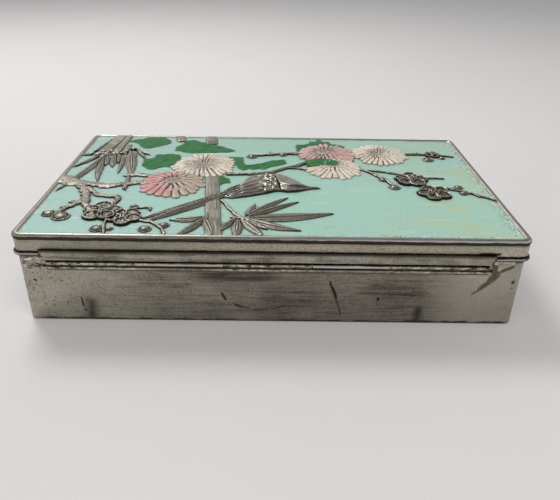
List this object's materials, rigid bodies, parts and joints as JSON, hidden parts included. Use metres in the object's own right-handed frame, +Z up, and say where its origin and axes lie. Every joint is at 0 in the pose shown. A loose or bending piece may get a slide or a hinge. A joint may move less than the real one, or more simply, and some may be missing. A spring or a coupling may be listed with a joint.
{
  "type": "hinged enamelled relief box",
  "caption": "Flat rectangular hinged table box of cast white metal, its lid with a bird, chrysanthemums, bamboo and plum in relief on a pale green enamel ground.",
  "frame": {"origin": "middle of the underside, on the table", "axes": "+X along the length, to the right as seen from the hinge side; +Y from the hinge side to the opening side; +Z up. The hinge is on the -Y side."},
  "size_m": [0.167, 0.103, 0.0349],
  "materials": {
    "white_metal": "worn satin silver-grey cast white metal with brown tarnish",
    "enamelled_lid": "pale green enamel ground between silver-grey relief",
    "pin_wire": "dull tarnished wire"
  },
  "bodies": {
    "box": {"box_body": "white_metal", "body_hinge_strip": "white_metal", "hinge_pin": "pin_wire"},
    "cover": {"lid": "enamelled_lid", "lid_hinge_strip": "white_metal"}
  },
  "joints": [
    {"name": "lid_hinge", "type": "hinge", "parent": "box", "child": "cover", "pos_m": [0, -0.051, 0.023], "axis": [1, 0, 0], "range_deg": [0, 105]}
  ]
}
